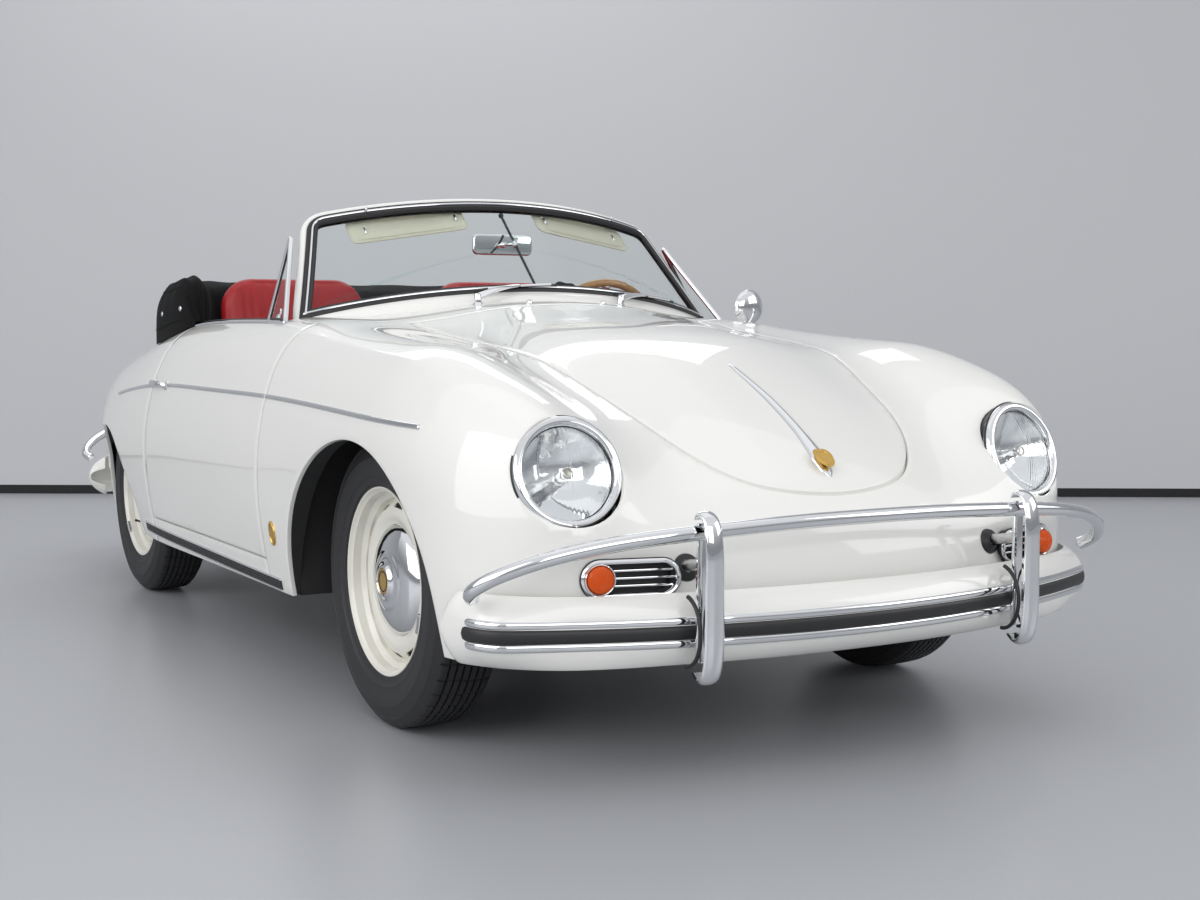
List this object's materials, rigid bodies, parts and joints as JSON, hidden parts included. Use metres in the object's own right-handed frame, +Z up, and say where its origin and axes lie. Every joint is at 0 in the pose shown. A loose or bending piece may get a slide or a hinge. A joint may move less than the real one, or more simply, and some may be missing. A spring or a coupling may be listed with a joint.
{
  "type": "roadster convertible",
  "caption": "Open two-seat roadster with rounded fenders, sloping nose, folded cloth top, curved windscreen, painted bumpers with bright guards and steel disc wheels.",
  "frame": {"origin": "on the ground, under the middle of the car", "axes": "+Z up, the front of the car faces -Y, the car's left side is +X"},
  "size_m": [1.6712, 3.956, 1.2328],
  "materials": {
    "ivory_paint": "gloss",
    "cream_paint": "gloss",
    "bright_trim": "polished",
    "clear_glass": "clear",
    "amber_lens": "moulded lens",
    "red_lens": "moulded lens",
    "red_leather": "satin",
    "visor_cloth": "matt",
    "black_cloth": "woven",
    "black_steel": "satin",
    "underbody": "matt",
    "cast_alloy": "cast",
    "wood_rim": "varnished",
    "black_tyre": "ribbed"
  },
  "bodies": {
    "body": {"body_nose": "ivory_paint", "body_tail": "ivory_paint", "floor_pan": "underbody", "dashboard": "ivory_paint", "windscreen_frame": "ivory_paint", "windscreen_glass": "clear_glass", "interior_mirror": "bright_trim", "sun_visors": "visor_cloth", "wipers": "bright_trim", "seat_left": "red_leather", "seat_right": "red_leather", "rear_bench": "red_leather", "soft_top_stack": "black_cloth", "front_bumper": "ivory_paint", "front_bumper_guards": "bright_trim", "rear_bumper": "ivory_paint", "rear_bumper_guards": "bright_trim", "headlamp_rims": "bright_trim", "headlamp_lenses": "clear_glass", "indicator_lamps": "amber_lens", "nose_grilles": "bright_trim", "tail_lamps": "red_lens", "front_axle": "black_steel", "rear_axle": "black_steel", "engine_block": "cast_alloy", "exhaust": "black_steel"},
    "hood": {"front_lid": "ivory_paint", "lid_handle": "bright_trim"},
    "engine_cover": {"engine_lid": "ivory_paint", "engine_grille": "bright_trim"},
    "left_door": {"door_left": "ivory_paint", "vent_window_left": "bright_trim", "door_mirror": "bright_trim"},
    "right_door": {"door_right": "ivory_paint", "vent_window_right": "bright_trim"},
    "steering": {"steering_wheel": "wood_rim"},
    "left_knuckle": {"knuckle_left": "black_steel"},
    "right_knuckle": {"knuckle_right": "black_steel"},
    "wheel_front_left": {"tyre_front_left": "black_tyre", "rim_front_left": "cream_paint"},
    "wheel_front_right": {"tyre_front_right": "black_tyre", "rim_front_right": "cream_paint"},
    "wheel_rear_left": {"tyre_rear_left": "black_tyre", "rim_rear_left": "cream_paint"},
    "wheel_rear_right": {"tyre_rear_right": "black_tyre", "rim_rear_right": "cream_paint"}
  },
  "joints": [
    {"name": "left_door_hinge", "type": "hinge", "parent": "body", "child": "left_door", "pos_m": [0.785, -0.74, 0.52], "axis": [0, 0, 1], "range_deg": [-60, 0]},
    {"name": "right_door_hinge", "type": "hinge", "parent": "body", "child": "right_door", "pos_m": [-0.785, -0.74, 0.52], "axis": [0, 0, 1], "range_deg": [0, 60]},
    {"name": "hood_hinge", "type": "hinge", "parent": "body", "child": "hood", "pos_m": [0, -0.62885, 0.88931], "axis": [1, 0, 0], "range_deg": [-50, 0]},
    {"name": "engine_cover_hinge", "type": "hinge", "parent": "body", "child": "engine_cover", "pos_m": [0, 1.01185, 0.81135], "axis": [1, 0, 0], "range_deg": [0, 50]},
    {"name": "left_kingpin", "type": "hinge", "parent": "body", "child": "left_knuckle", "pos_m": [0.59, -1.165, 0.322], "axis": [0, 0, 1], "range_deg": [-28, 28]},
    {"name": "right_kingpin", "type": "hinge", "parent": "body", "child": "right_knuckle", "pos_m": [-0.59, -1.165, 0.322], "axis": [0, 0, 1], "range_deg": [-28, 28]},
    {"name": "steering_column_turn", "type": "hinge", "parent": "body", "child": "steering", "pos_m": [0.38, -0.165, 0.825], "axis": [0, 0.9063, 0.4226], "range_deg": [-450, 450]},
    {"name": "front_left_spin", "type": "hinge", "parent": "left_knuckle", "child": "wheel_front_left", "pos_m": [0.653, -1.165, 0.322], "axis": [1, 0, 0], "continuous": true},
    {"name": "front_right_spin", "type": "hinge", "parent": "right_knuckle", "child": "wheel_front_right", "pos_m": [-0.653, -1.165, 0.322], "axis": [1, 0, 0], "continuous": true},
    {"name": "rear_left_spin", "type": "hinge", "parent": "body", "child": "wheel_rear_left", "pos_m": [0.636, 0.935, 0.322], "axis": [1, 0, 0], "continuous": true},
    {"name": "rear_right_spin", "type": "hinge", "parent": "body", "child": "wheel_rear_right", "pos_m": [-0.636, 0.935, 0.322], "axis": [1, 0, 0], "continuous": true}
  ],
  "couplings": [
    {"joint": "right_kingpin", "follows": "left_kingpin", "ratio": 1},
    {"joint": "steering_column_turn", "follows": "left_kingpin", "ratio": 16}
  ]
}
